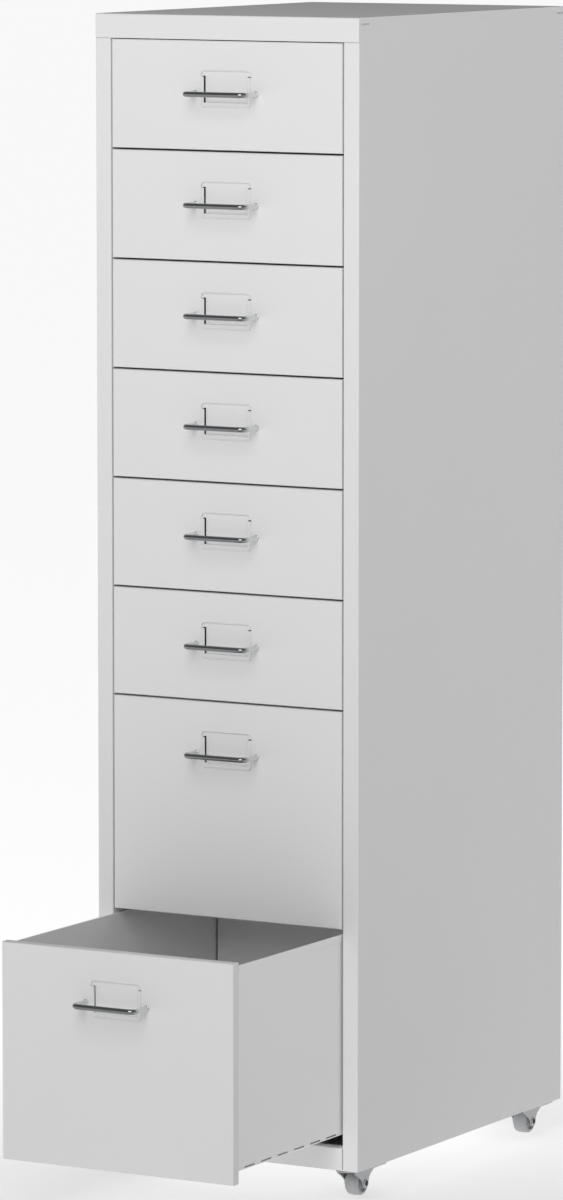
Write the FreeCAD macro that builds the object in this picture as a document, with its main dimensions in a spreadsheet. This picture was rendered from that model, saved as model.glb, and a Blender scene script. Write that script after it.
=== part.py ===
import FreeCAD, Part
import math
import os
import Sketcher
from FreeCAD import Vector

# A narrow drawer cabinet of folded sheet steel on four small casters.
# It has six shallow and two deep drawers. The lowest one stands pulled out.
# Origin: floor level, in the middle of the whole object's footprint. X right, Y back, Z up.

SIZES = {
    # carcass
    "body_width": 278,
    "body_depth": 407,
    "body_height": 1059,
    "sheet": 0.8,
    "bend_radius": 1.2,
    "stile_width": 16,
    "post_return": 20,
    "top_flange": 22.3,
    "top_lip": 10,
    "top_side_flange": 12,
    "top_rear_flange": 12,
    "hairline": 0.3,
    "slot_length": 14,
    "slot_height": 1.2,
    "slot_drop": 5.5,
    "slot_setback": 5,
    "hook_thickness": 0.6,
    "rail_height": 21,
    "rail_lip": 12,
    "rail_return": 6,
    "base_sheet": 1.2,
    "base_upstand": 12,
    "back_margin": 0.5,
    # drawers
    "drawer_gap": 1.8,
    "side_gap": 1.4,
    "front_sheet": 0.8,
    "front_return": 10,
    "front_bend": 1.2,
    "tray_sheet": 0.7,
    "tray_length": 384,
    "tray_lift": 11,
    "tray_drop": 3,
    "tray_bend": 1.4,
    "fold_slot": 19,
    "fold_bridge": 11,
    "fold_slot_height": 1.6,
    "hem_height": 6,
    "hem_setback": 1,
    "corner_gap": 1.5,
    "weld_tab": 12,
    "stop_width": 6,
    "stop_height": 5,
    "stop_drop": 14,
    "stop_reach": 2.6,
    "stop_setback": 30,
    "runner_sheet": 1,
    "runner_ledge": 11,
    "runner_rise": 12,
    "runner_clearance": 0.3,
    "runner_front": 12,
    "runner_rear": 8,
    "drawer_pull": 198,
    # label holder, stamped in each front
    "label_width": 53,
    "label_height": 33.4,
    "label_drop": 27.6,
    "label_radius": 4,
    "label_head": 5.3,
    "label_foot": 4.7,
    "label_lip": 3.4,
    "label_slit": 0.7,
    "label_depth": 1.5,
    "label_proud": 0.9,
    # handle
    "handle_span": 64,
    "handle_wire": 5,
    "handle_reach": 26,
    "handle_bend": 8,
    "handle_drop": 49,
    "screw_shank": 3,
    "screw_depth": 8,
    "screw_head": 7,
    "screw_head_height": 2,
    "screw_clearance": 0.1,
    # casters
    "caster_height": 31,
    "caster_inset_x": 25,
    "caster_inset_y": 36,
    "plate_length": 54,
    "plate_width": 46,
    "plate_thickness": 2,
    "plate_corner": 6,
    "kingpin": 6,
    "kingpin_head": 10,
    "kingpin_head_height": 1,
    "bearing_outer": 22,
    "bearing_inner": 7,
    "bearing_height": 1.5,
    "swivel_clearance": 0.2,
    "fork_sheet": 1.5,
    "fork_width": 20,
    "fork_length": 44,
    "fork_tip": 5.2,
    "fork_tip_round": 5,
    "fork_hip_height": 22.4,
    "fork_belly": 1.6,
    "wheel_diameter": 24,
    "wheel_width": 14.4,
    "wheel_chamfer": 1.6,
    "caster_trail": 7,
    "axle": 5,
    "axle_head": 7.4,
    "axle_head_height": 0.8,
    "running_fit": 0.08,
}
SHALLOW_DRAWERS = 6
DEEP_DRAWERS = 2
DEEP_UNITS = 2
DRAWERS = SHALLOW_DRAWERS + DEEP_DRAWERS
BEND_STEPS = 2

# What follows from the driving sizes.
FITS = {
    "half_width": "Sizes.body_width / 2",
    "opening_half": "Sizes.body_width / 2 - Sizes.stile_width",
    "frame_depth": "Sizes.body_depth - Sizes.sheet",
    "front_half": "Sizes.body_width / 2 - Sizes.stile_width - Sizes.side_gap",
    "tray_half": "Sizes.body_width / 2 - Sizes.stile_width - Sizes.side_gap - Sizes.front_sheet",
    "front_plane": "(Sizes.drawer_pull + Sizes.handle_reach - Sizes.body_depth) / 2",
    "crown_top": "Sizes.caster_height - Sizes.plate_thickness - Sizes.bearing_height"
    " - Sizes.swivel_clearance",
    "axle_height": "Sizes.wheel_diameter / 2",
}

doc = FreeCAD.newDocument("DrawerCabinet")


def fill_sheet(name, cells):
    """A spreadsheet with one named cell in each row."""
    sheet = doc.addObject("Spreadsheet::Sheet", name)
    for row, (alias, content) in enumerate(cells.items(), start=1):
        text = content if isinstance(content, str) else str(content)
        sheet.set(f"A{row}", alias)
        sheet.set(f"B{row}", f"={text}" if isinstance(content, str) else text)
        sheet.setAlias(f"B{row}", alias)
    doc.recompute()
    return sheet


sizes = fill_sheet("Sizes", SIZES)
fits = fill_sheet("Fits", FITS)
UNITS = SHALLOW_DRAWERS + DEEP_DRAWERS * DEEP_UNITS
UNIT = f"(Sizes.body_height - Sizes.top_flange - Sizes.rail_height) / {UNITS}"


def number(expression):
    """The value of an expression over the spreadsheets."""
    result = sizes.evalExpression(expression)
    return float(getattr(result, "Value", result))


def new_body(label, x="0", y="0", z="0"):
    """A body with its own label, placed by three expressions."""
    body = doc.addObject("PartDesign::Body", label)
    body.Label = label
    body.AllowCompound = True
    for axis, expression in zip("xyz", (x, y, z)):
        body.setExpression(f"Placement.Base.{axis}", expression)
    return body


def new_sketch(body, name, role, loops=(), circles=(), offset="0"):
    """A sketch on one origin plane, moved along its normal by offset.

    Each loop is a closed list of corners and each circle a centre and a radius,
    and every coordinate is an expression. A corner with a third expression is rounded
    by that radius. An edge whose start has a fourth one is an arc that bulges to its
    right by that height.
    """
    sketch = body.newObject("Sketcher::SketchObject", name)
    plane = next(item for item in body.Origin.OriginFeatures if item.Role == role)
    sketch.AttachmentSupport = [(plane, "")]
    sketch.MapMode = "FlatFace"
    sketch.setExpression("AttachmentOffset.Base.z", offset)
    for corners in loops:
        draw_path(sketch, corners, closed=True)
    for across, along, radius in circles:
        centre = Vector(number(across), number(along), 0)
        ring = sketch.addGeometry(Part.Circle(centre, Vector(0, 0, 1), number(radius)))
        bind(sketch, "DistanceX", ring, 3, centre.x, across)
        bind(sketch, "DistanceY", ring, 3, centre.y, along)
        bind_radius(sketch, ring, radius)
    return sketch


def draw_path(sketch, corners, closed):
    """Draw lines through the corners, with an arc at each rounded one."""
    spots = [Vector(number(corner[0]), number(corner[1]), 0) for corner in corners]
    count = len(corners)
    stops = []
    for index, corner in enumerate(corners):
        radius = corner[2] if len(corner) > 2 else None
        bulge = corner[3] if len(corner) > 3 else None
        if radius is None:
            stops.append((corner[0], corner[1], "bulge" if bulge else "line", bulge))
            continue
        back = (spots[index - 1] - spots[index]).normalize()
        ahead = (spots[(index + 1) % count] - spots[index]).normalize()
        stops.append(
            (
                f"{corner[0]} + {round(back.x)} * ({radius})",
                f"{corner[1]} + {round(back.y)} * ({radius})",
                "round",
                radius,
            )
        )
        stops.append(
            (
                f"{corner[0]} + {round(ahead.x)} * ({radius})",
                f"{corner[1]} + {round(ahead.y)} * ({radius})",
                "line",
                spots[index],
            )
        )
    points = [Vector(number(stop[0]), number(stop[1]), 0) for stop in stops]
    first = sketch.GeometryCount
    edges = len(stops) if closed else len(stops) - 1
    ends = []
    for index in range(edges):
        begin = points[index]
        finish = points[(index + 1) % len(stops)]
        _, _, kind, value = stops[index]
        if kind == "line":
            sketch.addGeometry(Part.LineSegment(begin, finish))
            ends.append((1, 2))
            continue
        chord = finish - begin
        if kind == "round":
            corner = stops[(index + 1) % len(stops)][3]
            height = (corner - (begin + finish) / 2).Length * (math.sqrt(2) - 1)
            side = (corner - (begin + finish) / 2).normalize()
        else:
            height = number(value)
            side = Vector(chord.y, -chord.x, 0).normalize()
        arc = Part.Arc(begin, (begin + finish) / 2 + side * height, finish)
        sketch.addGeometry(arc)
        # a sketch counts every arc anticlockwise, whichever way it was drawn
        turned = sketch.getPoint(first + index, 1).distanceToPoint(begin) > 1e-6
        ends.append((2, 1) if turned else (1, 2))
    for index in range(edges if closed else edges - 1):
        following = (index + 1) % edges
        sketch.addConstraint(
            Sketcher.Constraint(
                "Coincident", first + index, ends[index][1], first + following, ends[following][0]
            )
        )
    for index, (across, along, kind, value) in enumerate(stops):
        edge = first + min(index, edges - 1)
        point = ends[edge - first][0 if index < edges else 1]
        bind(sketch, "DistanceX", edge, point, points[index].x, across)
        bind(sketch, "DistanceY", edge, point, points[index].y, along)
        if kind == "round" and index < edges:
            bind_radius(sketch, first + index, value)
        if kind == "bulge" and index < edges:
            after = stops[(index + 1) % len(stops)]
            chord = f"(({after[0]} - ({across}))^2 + ({after[1]} - ({along}))^2)"
            bind_radius(sketch, first + index, f"{chord} / (8 * ({value})) + ({value}) / 2")


def bind(sketch, kind, geometry, point, value, expression):
    """Hold one coordinate of a point at an expression, measured from the sketch origin."""
    index = sketch.addConstraint(Sketcher.Constraint(kind, -1, 1, geometry, point, value))
    sketch.setExpression(f"Constraints[{index}]", expression)


def bind_radius(sketch, geometry, expression):
    """Hold a circle's or an arc's radius at an expression."""
    index = sketch.addConstraint(Sketcher.Constraint("Radius", geometry, number(expression)))
    sketch.setExpression(f"Constraints[{index}]", expression)


def extrude(body, kind, name, sketch, length, backwards=False):
    """A pad or pocket of a sketch."""
    feature = body.newObject(f"PartDesign::{kind}", name)
    feature.Profile = sketch
    feature.setExpression("Length", length)
    feature.Reversed = backwards
    body.Tip = feature
    doc.recompute()
    return feature


def cut(body, name, sketch, length, backwards):
    """A pocket that has to take material away."""
    before = body.Tip.Shape.Volume
    pocket = extrude(body, "Pocket", name, sketch, length, backwards)
    if pocket.Shape.Volume >= before:
        raise RuntimeError(f"{name} cuts nothing")
    return pocket


def rectangle(left, right, low, high):
    """The corners of a rectangle."""
    return [(left, low), (right, low), (right, high), (left, high)]


def hexagon(across, along, radius):
    """The corners of a hexagon round a centre."""
    corners = []
    for index in range(6):
        turn = math.pi / 3 * index
        corners.append(
            (
                f"{across} + {math.cos(turn):.6f} * ({radius})",
                f"{along} + {math.sin(turn):.6f} * ({radius})",
            )
        )
    return corners


def mirror_x(body, name, features):
    """Repeat features on the other side of the body's middle plane."""
    mirrored = body.newObject("PartDesign::Mirrored", name)
    mirrored.Originals = features
    plane = next(item for item in body.Origin.OriginFeatures if item.Role == "YZ_Plane")
    mirrored.MirrorPlane = (plane, [""])
    body.Tip = mirrored
    doc.recompute()
    return mirrored


def at_carcass(label):
    """A body whose origin is the foot of the carcass, in the middle of its front face."""
    return new_body(label, y="Fits.front_plane", z="Sizes.caster_height")


def side_panel(label, side):
    """A folded side: wall, stile and post at the front, and the same at the rear.

    side is 1 on the right and -1 on the left.
    """
    body = at_carcass(label)
    wall = f"{side} * Fits.half_width"
    inside = f"{side} * (Fits.half_width - Sizes.sheet)"
    post = f"{side} * Fits.opening_half"
    post_back = f"{side} * (Fits.opening_half + Sizes.sheet)"
    outer = "Sizes.bend_radius"
    inner = "Sizes.bend_radius - Sizes.sheet"
    rear = "Fits.frame_depth"
    section = [
        (wall, "0", outer),
        (post, "0", outer),
        (post, "Sizes.post_return"),
        (post_back, "Sizes.post_return"),
        (post_back, "Sizes.sheet", inner),
        (inside, "Sizes.sheet", inner),
        (inside, f"{rear} - Sizes.sheet", inner),
        (post_back, f"{rear} - Sizes.sheet", inner),
        (post_back, f"{rear} - Sizes.post_return"),
        (post, f"{rear} - Sizes.post_return"),
        (post, rear, outer),
        (wall, rear, outer),
    ]
    sketch = new_sketch(body, f"{label}_section", "XY_Plane", [section], offset="Sizes.base_sheet")
    height = "Sizes.body_height - Sizes.sheet - Sizes.base_sheet"
    extrude(body, "Pad", f"{label}_wall", sketch, height)
    notch = rectangle(
        "-Sizes.hairline",
        "Sizes.sheet + Sizes.hairline",
        "Sizes.body_height - Sizes.top_flange - Sizes.hairline",
        "Sizes.body_height",
    )
    beside = f"{side} * Fits.half_width"
    notch_sketch = new_sketch(body, f"{label}_notch_shape", "YZ_Plane", [notch], offset=beside)
    cut(body, f"{label}_top_notch", notch_sketch, "Sizes.stile_width + Sizes.hairline", side < 0)
    slot_top = "Sizes.body_height - Sizes.slot_drop"
    slot_foot = f"{slot_top} - Sizes.slot_height"
    near = "Sizes.slot_setback"
    far = f"{rear} - Sizes.slot_setback"
    slots = [
        rectangle(near, f"{near} + Sizes.slot_length", slot_foot, slot_top),
        rectangle(f"{far} - Sizes.slot_length", far, slot_foot, slot_top),
    ]
    slot_sketch = new_sketch(body, f"{label}_slot_shapes", "YZ_Plane", slots, offset=beside)
    cut(body, f"{label}_hook_slots", slot_sketch, "Sizes.sheet * 2", side < 0)
    return body


def top_panel():
    """The cover: plate, deep front flange with a lip under it, side flanges and rear flange."""
    body = at_carcass("top_panel")
    top = "Sizes.body_height"
    under = "Sizes.body_height - Sizes.sheet"
    flange_foot = "Sizes.body_height - Sizes.top_flange"
    rear_foot = f"{top} - Sizes.top_rear_flange"
    section = [
        ("0", top, "Sizes.bend_radius"),
        ("Sizes.body_depth", top, "Sizes.bend_radius"),
        ("Sizes.body_depth", rear_foot),
        ("Sizes.body_depth - Sizes.sheet", rear_foot),
        ("Sizes.body_depth - Sizes.sheet", under),
        ("Sizes.sheet", under),
        ("Sizes.sheet", flange_foot),
        ("0", flange_foot),
    ]
    sketch = new_sketch(body, "top_section", "YZ_Plane", [section], offset="-Fits.half_width")
    extrude(body, "Pad", "top_cover", sketch, "Sizes.body_width")
    lip_half = "(Fits.opening_half - Sizes.hairline)"
    lip = rectangle(f"-{lip_half}", lip_half, "0", "Sizes.top_lip")
    lip_sketch = new_sketch(body, "top_lip_shape", "XY_Plane", [lip], offset=flange_foot)
    extrude(body, "Pad", "top_front_lip", lip_sketch, "Sizes.sheet")
    flange_face = "Fits.half_width - Sizes.sheet - Sizes.hairline"
    flange = rectangle(
        "Sizes.sheet + Sizes.hairline * 2",
        "Fits.frame_depth - Sizes.sheet - Sizes.hairline",
        f"{top} - Sizes.top_side_flange",
        under,
    )
    hook_top = f"{top} - Sizes.slot_drop - (Sizes.slot_height - Sizes.hook_thickness) / 2"
    hook_foot = f"{hook_top} - Sizes.hook_thickness"
    near = "Sizes.slot_setback + Sizes.hairline"
    far = "Fits.frame_depth - Sizes.slot_setback - Sizes.hairline"
    hook = "(Sizes.slot_length - Sizes.hairline * 2)"
    hooks = [
        rectangle(near, f"{near} + {hook}", hook_foot, hook_top),
        rectangle(f"{far} - {hook}", far, hook_foot, hook_top),
    ]
    flange_back = f"{flange_face} - Sizes.sheet"
    flange_sketch = new_sketch(
        body, "side_flange_shape", "YZ_Plane", [flange], offset=flange_back
    )
    flange_pad = extrude(body, "Pad", "top_side_flange", flange_sketch, "Sizes.sheet")
    hook_sketch = new_sketch(body, "hook_shapes", "YZ_Plane", hooks, offset=flange_face)
    hook_pad = extrude(body, "Pad", "top_hooks", hook_sketch, "Sizes.hairline + Sizes.sheet / 2")
    mirror_x(body, "top_left_flange", [flange_pad, hook_pad])
    return body


def swivel_places():
    """Each caster's name and the place of its swivel axis in the carcass."""
    across = "(Fits.half_width - Sizes.caster_inset_x)"
    front = "Sizes.caster_inset_y"
    rear = "(Sizes.body_depth - Sizes.caster_inset_y)"
    return [
        ("front_left", f"-{across}", front),
        ("front_right", across, front),
        ("rear_left", f"-{across}", rear),
        ("rear_right", across, rear),
    ]


def base_panel():
    """The floor of the carcass: plate, front rail with its lip, and upstands on three sides."""
    body = at_carcass("base_panel")
    plate = rectangle("-Fits.half_width", "Fits.half_width", "0", "Fits.frame_depth")
    plate_sketch = new_sketch(body, "base_plate_shape", "XY_Plane", [plate])
    extrude(body, "Pad", "base_plate", plate_sketch, "Sizes.base_sheet")
    rail = [
        ("0", "0"),
        ("0", "Sizes.rail_height", "Sizes.bend_radius"),
        ("Sizes.rail_lip", "Sizes.rail_height"),
        ("Sizes.rail_lip", "Sizes.rail_height - Sizes.rail_return"),
        ("Sizes.rail_lip - Sizes.sheet", "Sizes.rail_height - Sizes.rail_return"),
        ("Sizes.rail_lip - Sizes.sheet", "Sizes.rail_height - Sizes.sheet"),
        ("Sizes.sheet", "Sizes.rail_height - Sizes.sheet"),
        ("Sizes.sheet", "0"),
    ]
    half = "(Fits.opening_half - Sizes.hairline)"
    rail_sketch = new_sketch(body, "rail_section", "YZ_Plane", [rail], offset=f"-{half}")
    extrude(body, "Pad", "front_rail", rail_sketch, f"2 * {half}")
    rear = rectangle("Fits.frame_depth - Sizes.sheet", "Fits.frame_depth", "0", "Sizes.rail_height")
    rear_sketch = new_sketch(body, "rear_upstand_shape", "YZ_Plane", [rear], offset=f"-{half}")
    extrude(body, "Pad", "rear_upstand", rear_sketch, f"2 * {half}")
    side = rectangle(
        "Sizes.sheet + Sizes.hairline",
        "Fits.frame_depth - Sizes.sheet - Sizes.hairline",
        "0",
        "Sizes.base_upstand",
    )
    upstand_back = "Fits.half_width - Sizes.sheet * 2 - Sizes.hairline"
    side_sketch = new_sketch(body, "side_upstand_shape", "YZ_Plane", [side], offset=upstand_back)
    side_pad = extrude(body, "Pad", "side_upstand", side_sketch, "Sizes.sheet")
    mirror_x(body, "left_upstand", [side_pad])
    return body


def back_panel():
    """The flat back, welded on the rear posts, under the cover's rear flange."""
    body = at_carcass("back_panel")
    half = "(Fits.half_width - Sizes.back_margin)"
    top = "Sizes.body_height - Sizes.top_rear_flange - Sizes.hairline"
    sheet = rectangle(f"-{half}", half, "0", top)
    sketch = new_sketch(body, "back_sheet_shape", "XZ_Plane", [sheet], offset="-Sizes.body_depth")
    extrude(body, "Pad", "back_sheet", sketch, "Sizes.sheet")
    return body


def drawer_places():
    """Each drawer from the top: its number, foot and height, as expressions in the carcass."""
    places = []
    left = UNITS
    for index in range(DRAWERS):
        units = 1 if index < SHALLOW_DRAWERS else DEEP_UNITS
        left -= units
        foot = f"(Sizes.rail_height + {left} * {UNIT} + Sizes.drawer_gap / 2)"
        height = f"({units} * {UNIT} - Sizes.drawer_gap)"
        places.append((index + 1, foot, height))
    return places


def runners(label, side):
    """One angle for each drawer, welded to the front and rear posts of a side."""
    body = at_carcass(label)
    outer = f"{side} * Fits.opening_half"
    web = f"{side} * (Fits.opening_half - Sizes.runner_sheet)"
    edge = f"{side} * (Fits.opening_half - Sizes.runner_ledge)"
    angles = []
    for _, foot, _ in drawer_places():
        shelf = f"{foot} + Sizes.tray_lift - Sizes.runner_clearance"
        under = f"{shelf} - Sizes.runner_sheet"
        top = f"{under} + Sizes.runner_rise"
        angles.append(
            [(outer, under), (outer, top), (web, top), (web, shelf), (edge, shelf), (edge, under)]
        )
    sketch = new_sketch(
        body, f"{label}_section", "XZ_Plane", angles, offset="-Sizes.runner_front"
    )
    length = "Fits.frame_depth - Sizes.runner_front - Sizes.runner_rear"
    extrude(body, "Pad", f"{label}_angles", sketch, length, True)
    return body


def at_drawer(label, place, z="0"):
    """A body whose origin is over the middle of the lower edge of a drawer's front."""
    index, foot, _ = place
    pulled = " - Sizes.drawer_pull" if index == DRAWERS else ""
    return new_body(label, y=f"Fits.front_plane{pulled}", z=f"Sizes.caster_height + {foot} + {z}")


def grip_height(place):
    """How high a drawer's handle stands above the lower edge of its front."""
    return f"({place[2]} - Sizes.handle_drop + Sizes.drawer_gap / 2)"


def drawer_front(place):
    """A folded pan with the label holder stamped in it and two holes for the handle."""
    index, _, height = place
    label = f"drawer_{index}_front"
    body = at_drawer(label, place)
    sheet = "Sizes.front_sheet"
    outline = rectangle("-Fits.front_half", "Fits.front_half", "0", height)
    blank_sketch = new_sketch(body, f"{label}_blank", "XZ_Plane", [outline])
    extrude(body, "Pad", f"{label}_box", blank_sketch, "Sizes.front_return", True)
    round_front(body, f"{label}_bends")
    hollow = rectangle(
        f"-Fits.front_half + {sheet}", f"Fits.front_half - {sheet}", sheet, f"{height} - {sheet}"
    )
    hollow_sketch = new_sketch(
        body, f"{label}_hollow_shape", "XZ_Plane", [hollow], offset=f"-{sheet}"
    )
    cut(body, f"{label}_hollow", hollow_sketch, "Sizes.front_return", False)
    stamp_label_holder(body, label, height)
    reach = "Sizes.screw_shank / 2 + Sizes.screw_clearance"
    grip = grip_height(place)
    holes = [(f"{side} * Sizes.handle_span / 2", grip, reach) for side in (-1, 1)]
    hole_sketch = new_sketch(body, f"{label}_hole_shapes", "XZ_Plane", [], holes)
    cut(body, f"{label}_handle_holes", hole_sketch, f"2 * {sheet}", False)
    return body


def round_front(body, name):
    """Round the four bends round the face of a front."""
    edges = []
    for index, edge in enumerate(body.Tip.Shape.Edges, start=1):
        if all(abs(vertex.Point.y) < 1e-6 for vertex in edge.Vertexes):
            edges.append(f"Edge{index}")
    blank = body.Tip
    fillet = body.newObject("PartDesign::Fillet", name)
    fillet.Base = (blank, edges)
    fillet.setExpression("Radius", "Sizes.front_bend")
    body.Tip = fillet
    doc.recompute()


def stamp_label_holder(body, label, height):
    """Press the label holder into a front.

    A card drops in from the top and stands behind two side lips and a foot strip.
    The floor lies behind the face, and a slit beside each lip goes through the sheet.
    """
    sheet = "Sizes.front_sheet"
    half = "Sizes.label_width / 2"
    inner = f"({half} - Sizes.label_lip)"
    edge = f"({inner} - Sizes.label_slit)"
    top = f"({height} - Sizes.label_drop)"
    head = f"({top} - Sizes.label_head)"
    low = f"({top} - Sizes.label_height)"
    foot = f"({low} + Sizes.label_foot)"
    bend = "Sizes.label_radius"
    window = [
        (f"-{half}", low, bend),
        (half, low, bend),
        (half, top, bend),
        (f"-{half}", top, bend),
    ]
    window_sketch = new_sketch(body, f"{label}_window_shape", "XZ_Plane", [window])
    cut(body, f"{label}_window", window_sketch, f"2 * {sheet}", False)
    tub = [
        (f"-{edge}", f"{foot} - {sheet}"),
        (edge, f"{foot} - {sheet}"),
        (edge, f"{head} - {sheet}"),
        (f"{half} + {sheet}", f"{head} - {sheet}"),
        (f"{half} + {sheet}", f"{top} + {sheet}", bend),
        (f"-({half} + {sheet})", f"{top} + {sheet}", bend),
        (f"-({half} + {sheet})", f"{head} - {sheet}"),
        (f"-{edge}", f"{head} - {sheet}"),
    ]
    tub_sketch = new_sketch(body, f"{label}_tub_shape", "XZ_Plane", [tub], offset=f"-{sheet} / 2")
    extrude(body, "Pad", f"{label}_tub", tub_sketch, f"Sizes.label_depth + {sheet} / 2", True)
    lips = [
        (f"-{half}", head),
        (f"-{half}", low, bend),
        (half, low, bend),
        (half, head),
        (inner, head),
        (inner, foot),
        (f"-{inner}", foot),
        (f"-{inner}", head),
    ]
    lip_sketch = new_sketch(
        body, f"{label}_lip_shape", "XZ_Plane", [lips], offset="Sizes.label_proud"
    )
    extrude(body, "Pad", f"{label}_lips", lip_sketch, f"Sizes.label_proud + {sheet}", True)
    recess = [
        (f"-{edge}", foot),
        (edge, foot),
        (edge, head),
        (half, head),
        (half, top, bend),
        (f"-{half}", top, bend),
        (f"-{half}", head),
        (f"-{edge}", head),
    ]
    recess_sketch = new_sketch(body, f"{label}_recess_shape", "XZ_Plane", [recess])
    cut(body, f"{label}_recess", recess_sketch, "Sizes.label_depth", False)
    behind = [
        (f"-{half} + {sheet}", f"{head} + {sheet}"),
        (f"-{half} + {sheet}", f"{low} + {sheet}"),
        (f"-{edge}", f"{low} + {sheet}"),
        (f"-{edge}", f"{head} + {sheet}"),
    ]
    other = [(f"-({x})", z) for x, z in behind]
    behind_sketch = new_sketch(
        body,
        f"{label}_behind_lips_shape",
        "XZ_Plane",
        [behind, other],
        offset=f"Sizes.label_proud - {sheet}",
    )
    depth = f"Sizes.label_depth + 2 * {sheet}"
    cut(body, f"{label}_behind_lips", behind_sketch, depth, False)


def drawer_tray(place):
    """A tray folded from one sheet: bottom, two sides with hems, a back and weld tabs."""
    index, _, height = place
    label = f"drawer_{index}_tray"
    body = at_drawer(label, place)
    sheet = "Sizes.tray_sheet"
    half = "Fits.tray_half"
    within = f"({half} - {sheet})"
    low = "Sizes.tray_lift"
    floor = f"(Sizes.tray_lift + {sheet})"
    top = f"({height} - Sizes.tray_drop)"
    outer = "Sizes.tray_bend"
    inner = f"Sizes.tray_bend - {sheet}"
    front = "Sizes.front_sheet"
    section = [
        (f"-{half}", top),
        (f"-{half}", low, outer),
        (half, low, outer),
        (half, top),
        (within, top),
        (within, floor, inner),
        (f"-{within}", floor, inner),
        (f"-{within}", top),
    ]
    sketch = new_sketch(body, f"{label}_section", "XZ_Plane", [section], offset=f"-{front}")
    extrude(body, "Pad", f"{label}_channel", sketch, "Sizes.tray_length", True)
    rear = f"({front} + Sizes.tray_length)"
    hem_foot = f"{top} - Sizes.hem_height"
    hems = [
        rectangle(half, f"{half} + {sheet}", hem_foot, top),
        rectangle(f"-{half} - {sheet}", f"-{half}", hem_foot, top),
    ]
    hem_front = "(Sizes.front_return + Sizes.hem_setback)"
    hem_sketch = new_sketch(body, f"{label}_hem_shapes", "XZ_Plane", hems, offset=f"-{hem_front}")
    extrude(body, "Pad", f"{label}_hems", hem_sketch, f"{rear} - {hem_front}", True)
    back_half = f"({within} - Sizes.corner_gap)"
    back = rectangle(f"-{back_half}", back_half, low, top)
    back_face = f"-({rear} - {sheet})"
    back_sketch = new_sketch(body, f"{label}_back_shape", "XZ_Plane", [back], offset=back_face)
    extrude(body, "Pad", f"{label}_back", back_sketch, sheet, True)
    tab_edge = f"({within} - Sizes.weld_tab)"
    tabs = [
        rectangle(tab_edge, within, f"{floor} + Sizes.corner_gap", f"{top} - Sizes.corner_gap"),
        rectangle(f"-{within}", f"-{tab_edge}", f"{floor} + Sizes.corner_gap",
                  f"{top} - Sizes.corner_gap"),
        rectangle(f"-{tab_edge}", tab_edge, floor, f"{floor} + Sizes.weld_tab"),
    ]
    tab_sketch = new_sketch(body, f"{label}_tab_shapes", "XZ_Plane", tabs, offset=f"-{front}")
    extrude(body, "Pad", f"{label}_weld_tabs", tab_sketch, sheet, True)
    stop_top = f"({top} - Sizes.stop_drop)"
    stop_rear = f"({rear} - Sizes.stop_setback)"
    stop = rectangle(
        f"{stop_rear} - Sizes.stop_width", stop_rear, f"{stop_top} - Sizes.stop_height", stop_top
    )
    stop_sketch = new_sketch(body, f"{label}_stop_shape", "YZ_Plane", [stop], offset=half)
    stop_pad = extrude(body, "Pad", f"{label}_stop", stop_sketch, "Sizes.stop_reach")
    mirror_x(body, f"{label}_left_stop", [stop_pad])
    if index > SHALLOW_DRAWERS:
        slot_folds(body, label)
    return body


def slot_folds(body, label):
    """A row of slots above both bottom folds, which lets the deep tray be bent up by hand."""
    half = "Fits.tray_half"
    low = "Sizes.tray_lift + Sizes.tray_bend"
    high = f"{low} + Sizes.fold_slot_height"
    walls = [
        rectangle(f"{half} - Sizes.tray_bend", half, low, high),
        rectangle(f"-{half}", f"Sizes.tray_bend - {half}", low, high),
    ]
    first = "(Sizes.front_sheet + Sizes.front_return + Sizes.fold_bridge)"
    sketch = new_sketch(body, f"{label}_slot_shapes", "XZ_Plane", walls, offset=f"-{first}")
    slots = cut(body, f"{label}_first_slots", sketch, "Sizes.fold_slot", False)
    pitch = "(Sizes.fold_slot + Sizes.fold_bridge)"
    steps = f"floor((Sizes.tray_length - Sizes.front_return - {pitch}) / {pitch})"
    row = body.newObject("PartDesign::LinearPattern", f"{label}_slot_row")
    row.Originals = [slots]
    row.Direction = (sketch, ["N_Axis"])
    row.Reversed = True
    row.setExpression("Occurrences", f"{steps} + 1")
    row.setExpression("Length", f"{steps} * {pitch}")
    body.Tip = row
    doc.recompute()


def drawer_handle(place):
    """A wire bow: two legs and a grip, bent in short steps, with a tapped hole in each leg."""
    label = f"drawer_{place[0]}_handle"
    body = at_drawer(label, place, grip_height(place))
    span = "Sizes.handle_span / 2"
    reach = "(Sizes.handle_reach - Sizes.handle_wire / 2)"
    bend = "Sizes.handle_bend"
    path = [(f"-{span}", "0")]
    for side in (-1, 1):
        turns = range(BEND_STEPS + 1) if side < 0 else range(BEND_STEPS, -1, -1)
        for step in turns:
            angle = math.pi / 2 * step / BEND_STEPS
            path.append(
                (
                    f"{side} * ({span} - {bend} * {1 - math.cos(angle):.6f})",
                    f"-({reach} - {bend} * {1 - math.sin(angle):.6f})",
                )
            )
    path.append((span, "0"))
    spine = new_sketch(body, f"{label}_path", "XY_Plane")
    draw_path(spine, path, closed=False)
    ring = [(f"-{span}", "0", "Sizes.handle_wire / 2")]
    profile = new_sketch(body, f"{label}_wire", "XZ_Plane", [], ring)
    doc.recompute()
    pipe = body.newObject("PartDesign::AdditivePipe", f"{label}_bow")
    pipe.Profile = profile
    pipe.Spine = (spine, [f"Edge{edge + 1}" for edge in range(len(path) - 1)])
    pipe.Transition = "Right corner"
    body.Tip = pipe
    doc.recompute()
    bore = "Sizes.screw_shank / 2 + Sizes.screw_clearance"
    holes = [(f"{side} * {span}", "0", bore) for side in (-1, 1)]
    hole_sketch = new_sketch(body, f"{label}_bore_shapes", "XZ_Plane", [], holes)
    cut(body, f"{label}_bores", hole_sketch, "Sizes.screw_depth", True)
    return body


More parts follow.
